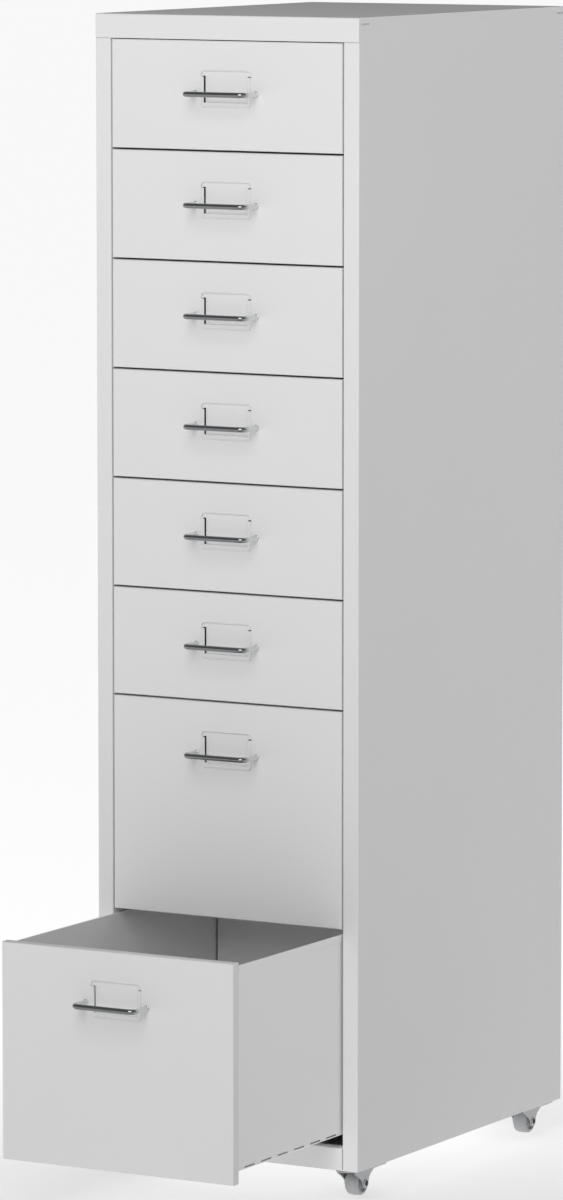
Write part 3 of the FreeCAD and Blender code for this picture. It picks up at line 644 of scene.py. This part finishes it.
class CABINET_OT_bend_handles(bpy.types.Operator):
    """Bends the wire handle of every drawer"""

    bl_idname = "cabinet.bend_handles"
    bl_label = "Bend Handles"

    def execute(self, context):
        sizes = context.scene.cabinet_sizes
        finishes = context.scene.cabinet_finishes
        chrome = chrome_plated_wire(finishes.chrome, finishes.grip_painted_reflection)
        for number in DRAWERS:
            name = f"drawer_{number}_handle"
            mesh = self.bent_wire(f"{name}_wire", name, sizes.wire / 2, sizes.wire_bend)
            place_piece(f"{name}_wire", mesh, chrome, f"drawer_{number}", "chrome_wire", name)
        return {"FINISHED"}

    @staticmethod
    def bent_wire(name, node, radius, bend):
        """A round section carried along a level U that starts and ends on the drawer front.

        Point (i, j) = P_i + r_i (cos a_j N_i + sin a_j Z), where P is the path of the wire's
        middle, N is level and square to the path, and Z points up. The radius r is larger at
        the feet, where each leg is upset to a collar, and each end is a flat disc.
        """
        centre, half = middle(node)
        side = half[0] - radius
        front, foot = centre[1] - half[1] + radius, centre[1] + half[1]
        corners = [(-side, foot), (-side, front), (side, front), (side, foot)]
        path = rounded(corners, (bend, bend), 14)
        steps = np.array([(0, step) for step in COLLAR_STEPS])
        near, far = path[0] - steps, path[-1] - steps[::-1]
        path = np.concatenate([path[:1], near, path[1:-1], far, path[-1:]])
        step = np.gradient(path, axis=0)
        step /= np.linalg.norm(step, axis=1)[:, None]
        level = np.stack([-step[:, 1], step[:, 0], np.zeros(len(path))], axis=1)
        wide = np.full(len(path), radius)
        wide[[0, 1, -2, -1]] = COLLAR_SWELL * radius
        wide[[2, -3]] = COLLAR_SHOULDER * radius
        angle = np.linspace(0, 2 * math.pi, WIRE_SIDES, endpoint=False)
        middle_line = np.column_stack([path + (centre[0], 0), np.full(len(path), centre[2])])
        ring = np.cos(angle)[None, :, None] * level[:, None, :]
        ring = ring + np.sin(angle)[None, :, None] * np.array([0.0, 0.0, 1.0])
        ring = ring * wide[:, None, None]
        mesh = surface_from_grid(name, middle_line[:, None, :] + ring, True)
        travelled = np.concatenate([[0], np.cumsum(np.linalg.norm(np.diff(path, axis=0), axis=1))])
        travelled -= travelled[-1] / 2
        layer = mesh.uv_layers.new(name="wire")
        corner = np.zeros(len(mesh.loops), dtype=np.int32)
        mesh.loops.foreach_get("vertex_index", corner)
        around = angle * radius
        ring_of, side_of = np.divmod(corner, WIRE_SIDES)
        layer.data.foreach_set(
            "uv", np.stack([travelled[ring_of], around[side_of]], axis=1).ravel()
        )
        return finish_mesh(mesh, merge=False, sharp=math.radians(50))


class CABINET_OT_roll_edges(bpy.types.Operator):
    """Rolls the fine beads round the label holders and along the hems of the trays"""

    bl_idname = "cabinet.roll_edges"
    bl_label = "Roll Edges"

    def execute(self, context):
        sizes = context.scene.cabinet_sizes
        coat = bpy.data.materials["powder_coated_sheet_steel"]
        # The hem beads take the lighter tray coat, the painted fill light of the trays.
        tray_coat_painted_fill = bpy.data.materials["powder_coated_tray_steel_painted_fill"]
        for number in DRAWERS:
            body = f"drawer_{number}"
            label = self.label_paths(f"{body}_front", sizes.bead)
            hems = self.hem_paths(f"{body}_tray")
            for name, paths, width, finish in (
                (f"{body}_label_edge", label, sizes.bead, coat),
                (f"{body}_hem_edge", hems, sizes.hem_bead, tray_coat_painted_fill),
            ):
                mesh = self.beads(name, paths, width / 2)
                place_piece(name, mesh, finish, body, "powder_coated_steel")
        return {"FINISHED"}

    @staticmethod
    def label_paths(node, bead):
        """Round the lips of a label holder, and over the top of its recess, in X and Z."""
        low, high = (np.array(corner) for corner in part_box(node))
        inset = bead / 2
        top = high[2] - HOLDER_TOP
        head, foot = top - LIP_START, top - SILL_DROP
        base, crown, sill = top - HOLDER_HEIGHT + inset, head - inset, foot - inset
        right, left = HOLDER_HALF - inset, inset - HOLDER_HALF
        neck = HOLDER_INNER_HALF + inset
        lips = rounded(
            [
                (0, base),
                (right, base),
                (right, crown),
                (neck, crown),
                (neck, sill),
                (-neck, sill),
                (-neck, crown),
                (left, crown),
                (left, base),
                (0, base),
            ],
            (3.5 * MM, 1.2 * MM, 1.2 * MM, 0.6 * MM, 0.6 * MM, 1.2 * MM, 1.2 * MM, 3.5 * MM),
        )
        over = HOLDER_HALF + inset
        arch = rounded(
            [
                (-over, head),
                (-over, top + inset),
                (over, top + inset),
                (over, head),
            ],
            (4.5 * MM, 4.5 * MM),
        )
        face = low[1]
        behind = face + RECESS_DEPTH
        return [
            (np.column_stack([lips[:, 0], np.full(len(lips), face), lips[:, 1]]), (0, -1, 0)),
            (np.column_stack([arch[:, 0], np.full(len(arch), behind), arch[:, 1]]), (0, -1, 0)),
        ]

    @staticmethod
    def hem_paths(node):
        """Two straight lines, where the hems of a tray's sides end below the top.

        The box of a tray ends at its stops, which stand out from its sides.
        """
        low, high = (np.array(corner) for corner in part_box(node))
        y = np.linspace(low[1] + HEM_SETBACK, high[1] - HEM_SETBACK, 5)
        lines = []
        for side, out in ((low[0], -1), (high[0], 1)):
            wall = side - out * STOP_REACH
            line = np.column_stack([np.full(5, wall), y, np.full(5, high[2] - HEM_DROP)])
            lines.append((line, (out, 0, 0)))
        return lines

    @staticmethod
    def beads(name, paths, radius):
        """A round bead carried along each path, half sunk in the sheet that it lies on.

        Point (i, j) = P_i + r (cos a_j N_i + sin a_j U), where U points out of the sheet and N
        lies in it, square to the path. A path that ends where it starts is closed.
        """
        joined = bmesh.new()
        for path, up in paths:
            up = np.array(up, dtype=float)
            closed = np.allclose(path[0], path[-1])
            ahead, back = np.roll(path, -1, axis=0), np.roll(path, 1, axis=0)
            if closed:
                ahead[-1], back[0] = path[1], path[-2]
            else:
                ahead[-1], back[0] = path[-1], path[0]
            step = (ahead - back) / np.linalg.norm(ahead - back, axis=1)[:, None]
            aside = np.cross(step, up)
            angle = np.linspace(0, 2 * math.pi, 12, endpoint=False)[None, :, None]
            ring = np.cos(angle) * aside[:, None, :] + np.sin(angle) * up
            points = path[:, None, :] + radius * ring
            part = surface_from_grid(f"{name}_part", points, True, caps=not closed)
            joined.from_mesh(part)
            bpy.data.meshes.remove(part)
        mesh = bpy.data.meshes.new(name)
        joined.to_mesh(mesh)
        joined.free()
        return finish_mesh(mesh, sharp=math.radians(60))


class CABINET_OT_mould_wheels(bpy.types.Operator):
    """Moulds the four caster wheels"""

    bl_idname = "cabinet.mould_wheels"
    bl_label = "Mould Wheels"

    def execute(self, context):
        sizes = context.scene.cabinet_sizes
        nylon = moulded_nylon(context.scene.cabinet_finishes.nylon)
        for caster in CASTERS:
            node = f"caster_{caster}_wheel"
            centre, half = middle(node)
            mesh = turned_about_x(f"{node}_moulding", centre, self.section(sizes, half), 96)
            finish_mesh(mesh, sharp=math.radians(40))
            place_piece(
                f"{node}_moulding", mesh, nylon, f"{caster}_wheel", "caster_plastic", node
            )
        return {"FINISHED"}

    @staticmethod
    def section(sizes, half):
        """Half a wheel's section from bore to tread and back, as a closed loop of (x, r).

        The tread is crowned: it falls off towards the shoulders, and each face is dished
        between the rim and a raised hub.
        """
        width, radius = half[0], half[2]
        rim = radius - RIM_HEIGHT
        dish = width - sizes.wheel_dish
        right = rounded(
            [
                (width, WHEEL_BORE),
                (width, WHEEL_HUB),
                (dish, WHEEL_HUB + DISH_SLOPE),
                (dish, rim - DISH_SLOPE),
                (width, rim),
                (width, radius - TREAD_CROWN),
                (0, radius),
            ],
            (0.3 * MM, 0.4 * MM, 0.4 * MM, 0.3 * MM, sizes.tread_round),
            8,
        )
        left = right[::-1][1:] * (-1, 1)
        return np.concatenate([right, left, right[:1]])


class CABINET_OT_stamp_forks(bpy.types.Operator):
    """Stamps the four caster forks"""

    bl_idname = "cabinet.stamp_forks"
    bl_label = "Stamp Forks"

    def execute(self, context):
        sizes = context.scene.cabinet_sizes
        steel = stamped_fork_steel(context.scene.cabinet_finishes.zinc)
        for caster in CASTERS:
            node = f"caster_{caster}_fork"
            mesh = self.folded_blank(f"{node}_stamping", caster, sizes)
            piece = place_piece(
                f"{node}_stamping", mesh, steel, f"{caster}_fork", "caster_steel", node
            )
            wall = piece.modifiers.new("sheet", "SOLIDIFY")
            wall.thickness = sizes.fork_sheet
            wall.offset = -1
            edge = piece.modifiers.new("burr", "BEVEL")
            edge.width = FORK_BURR
            edge.segments = 2
            edge.limit_method = "ANGLE"
            edge.angle_limit = math.radians(50)
        return {"FINISHED"}

    @staticmethod
    def folded_blank(name, caster, sizes):
        """The outer skin of a fork: a flared blank folded over the wheel to an upside-down U.

        Row i is one point of the fold (x, z) from the foot of one leg over the crown to the
        other, and column j goes across the blank from its front edge to its rear edge. The
        edges follow the height: an arc round the axle, then curves that flare to the crown,
        whose front edge is a half circle as wide as the fork.
        """
        centre, half = middle(f"caster_{caster}_fork")
        axle, _ = middle(f"caster_{caster}_axle")
        foot, top = centre[2] - half[2], centre[2] + half[2]
        tip = axle[2] - foot
        hip = top - HIP_DROP
        fold = rounded(
            [(-half[0], foot), (-half[0], top), (half[0], top), (half[0], foot)],
            (sizes.fork_shoulder, sizes.fork_shoulder),
            8,
        )
        low = foot + tip * (1 - np.cos(np.linspace(0, math.pi / 2, 10)))
        legs = np.concatenate([low, np.linspace(axle[2], top - sizes.fork_shoulder, 18)[1:-1]])
        left = np.column_stack([np.full(len(legs), -half[0]), legs])
        flat = np.linspace(sizes.fork_shoulder - half[0], half[0] - sizes.fork_shoulder, 11)
        crown = np.column_stack([flat, np.full(len(flat), top)])[1:-1]
        fold = np.concatenate([left, fold[1:10], crown, fold[10:-1], left[::-1] * (-1, 1)])
        height = fold[:, 1]
        below = np.sqrt(np.clip(tip**2 - np.clip(axle[2] - height, 0, tip) ** 2, 0, None))
        rise = np.clip((height - axle[2]) / (hip - axle[2]), 0, 1)
        hips = centre[1] - half[1] + half[0]
        front = axle[1] - below - (axle[1] - tip - hips) * rise**FRONT_FLARE
        front -= np.sqrt(np.clip(half[0] ** 2 - fold[:, 0] ** 2, 0, None))
        rear = axle[1] + below + (centre[1] + half[1] - axle[1] - tip) * rise**REAR_FLARE
        across = np.linspace(0, 1, 17)
        y = front[:, None] + (rear - front)[:, None] * across
        x = np.repeat(fold[:, :1], len(across), axis=1) + centre[0]
        z = np.repeat(height[:, None], len(across), axis=1)
        mesh = surface_from_grid(name, np.stack([x, y, z], axis=-1), False, caps=False)
        return finish_mesh(mesh, sharp=math.radians(50))


class CABINET_OT_rivet_axles(bpy.types.Operator):
    """Rivets the axles of the four casters"""

    bl_idname = "cabinet.rivet_axles"
    bl_label = "Rivet Axles"

    def execute(self, context):
        zinc = bpy.data.materials["zinc_plated_steel"]
        pit_shade = painted_pit_shade(context.scene.cabinet_finishes.pit_shade)
        for caster in CASTERS:
            node = f"caster_{caster}_axle"
            centre, half = middle(node)
            mesh = turned_about_x(f"{node}_rivet", centre, self.section(half), 48)
            finish_mesh(mesh, sharp=math.radians(40))
            place_piece(f"{node}_rivet", mesh, zinc, f"{caster}_fork", "zinc_plated_steel", node)
            # The faces in the pit take the dark second material: painted shade in the hollow end.
            mesh.materials.append(pit_shade)
            spots = np.zeros(3 * len(mesh.polygons))
            mesh.polygons.foreach_get("center", spots)
            spots = spots.reshape(-1, 3) - centre
            pit = np.hypot(spots[:, 1], spots[:, 2]) < PIT_RADIUS + 0.15 * MM
            pit &= abs(spots[:, 0]) > half[0] - PIT_DEPTH - 0.05 * MM
            mesh.polygons.foreach_set("material_index", pit.astype(np.int32))
        return {"FINISHED"}

    @staticmethod
    def section(half):
        """Half a rivet's section as (x, r): an end with a pit, rolled over to a rounded lip."""
        end, lip = half[0], half[2]
        inside = end - RIVET_HEAD
        floor = end - PIT_DEPTH
        right = rounded(
            [
                (floor, 0),
                (floor, PIT_RADIUS),
                (end, PIT_RADIUS + PIT_SLOPE),
                (end, lip),
                (inside, lip),
                (inside, RIVET_SHANK),
                (0, RIVET_SHANK),
            ],
            (0.2 * MM, 0.2 * MM, 0.4 * MM, 0.2 * MM, 0.1 * MM),
            6,
        )
        return np.concatenate([right, right[::-1][1:] * (-1, 1)])


class CABINET_OT_set_up_studio(bpy.types.Operator):
    """Sets up the floor, the soft lights and the camera"""

    bl_idname = "cabinet.set_up_studio"
    bl_label = "Set Up Studio"

    def execute(self, context):
        self.lay_floor(context)
        self.hang_lights(context)
        self.aim_camera(context)
        return {"FINISHED"}

    @staticmethod
    def lay_floor(context):
        """A level sheet, z = -FLOOR_DROP, that reaches to the horizon of a low view."""
        span = np.linspace(-FLOOR_REACH, FLOOR_REACH, 25)
        x, y = np.meshgrid(span, span)
        points = np.stack([x, y, np.full_like(x, -FLOOR_DROP)], axis=-1)
        mesh = surface_from_grid("studio_floor", points, False, caps=False)
        floor = bpy.data.objects.new("studio_floor", mesh)
        context.scene.collection.objects.link(floor)
        mesh.materials.append(matt_studio_board(context.scene.cabinet_finishes.floor))

    @staticmethod
    def hang_lights(context):
        """An even, dim sky, with a wide soft light in front and to the right."""
        world = bpy.data.worlds.new("studio")
        world.use_nodes = True
        sky = world.node_tree.nodes["Background"]
        sky.inputs["Color"].default_value = linear("#FFFFFF")
        sky.inputs["Strength"].default_value = SKY_STRENGTH
        context.scene.world = world
        context.scene.view_settings.view_transform = "Standard"
        light = bpy.data.lights.new("softbox", "AREA")
        light.shape = "RECTANGLE"
        light.size, light.size_y = SOFTBOX_SIZE
        light.energy = SOFTBOX_WATTS
        lamp = bpy.data.objects.new("softbox", light)
        context.scene.collection.objects.link(lamp)
        spot = Vector(SOFTBOX_SPOT)
        aim = (Vector(SOFTBOX_AIM) - spot).to_track_quat("-Z", "Y")
        lamp.matrix_world = Matrix.LocRotScale(spot, aim, None)

    @staticmethod
    def aim_camera(context):
        """The photograph's own view: from the right of the fronts, a little above, from 6 m."""
        data = bpy.data.cameras.new("camera")
        data.lens = CAMERA_LENS
        data.sensor_width = 36
        data.clip_end = CAMERA_RANGE
        turn = math.radians(CAMERA_TURN)
        tilt = math.radians(CAMERA_TILT)
        ahead = Vector(
            (-math.sin(turn) * math.cos(tilt), math.cos(turn) * math.cos(tilt), -math.sin(tilt))
        )
        camera = bpy.data.objects.new("camera", data)
        context.scene.collection.objects.link(camera)
        aim = ahead.to_track_quat("-Z", "Y")
        camera.matrix_world = Matrix.LocRotScale(Vector(CAMERA_SPOT), aim, None)
        context.scene.camera = camera


OPERATORS = (
    CABINET_OT_coat_sheet_steel,
    CABINET_OT_plate_fittings,
    CABINET_OT_bend_handles,
    CABINET_OT_roll_edges,
    CABINET_OT_mould_wheels,
    CABINET_OT_stamp_forks,
    CABINET_OT_rivet_axles,
    CABINET_OT_set_up_studio,
)


class CABINET_PT_workshop(bpy.types.Panel):
    """Lists the steps that dress the cabinet, with their sizes and colours"""

    bl_idname = "CABINET_PT_workshop"
    bl_label = "Drawer Cabinet"
    bl_space_type = "VIEW_3D"
    bl_region_type = "UI"
    bl_category = "Cabinet"

    def draw(self, context):
        layout = self.layout
        for group in (context.scene.cabinet_sizes, context.scene.cabinet_finishes):
            column = layout.column(align=True)
            for name in group.__annotations__:
                column.prop(group, name)
        for operator in OPERATORS:
            layout.operator(operator.bl_idname)


CLASSES = (CabinetSizes, CabinetFinishes, *OPERATORS, CABINET_PT_workshop)


def register():
    for item in CLASSES:
        bpy.utils.register_class(item)
    bpy.types.Scene.cabinet_sizes = bpy.props.PointerProperty(type=CabinetSizes)
    bpy.types.Scene.cabinet_finishes = bpy.props.PointerProperty(type=CabinetFinishes)


def unregister():
    del bpy.types.Scene.cabinet_finishes
    del bpy.types.Scene.cabinet_sizes
    for item in reversed(CLASSES):
        bpy.utils.unregister_class(item)


def main():
    """Registers the add-on and makes every piece in order."""
    register()
    for operator in OPERATORS:
        group, name = operator.bl_idname.split(".")
        getattr(getattr(bpy.ops, group), name)()


if __name__ == "__main__":
    main()
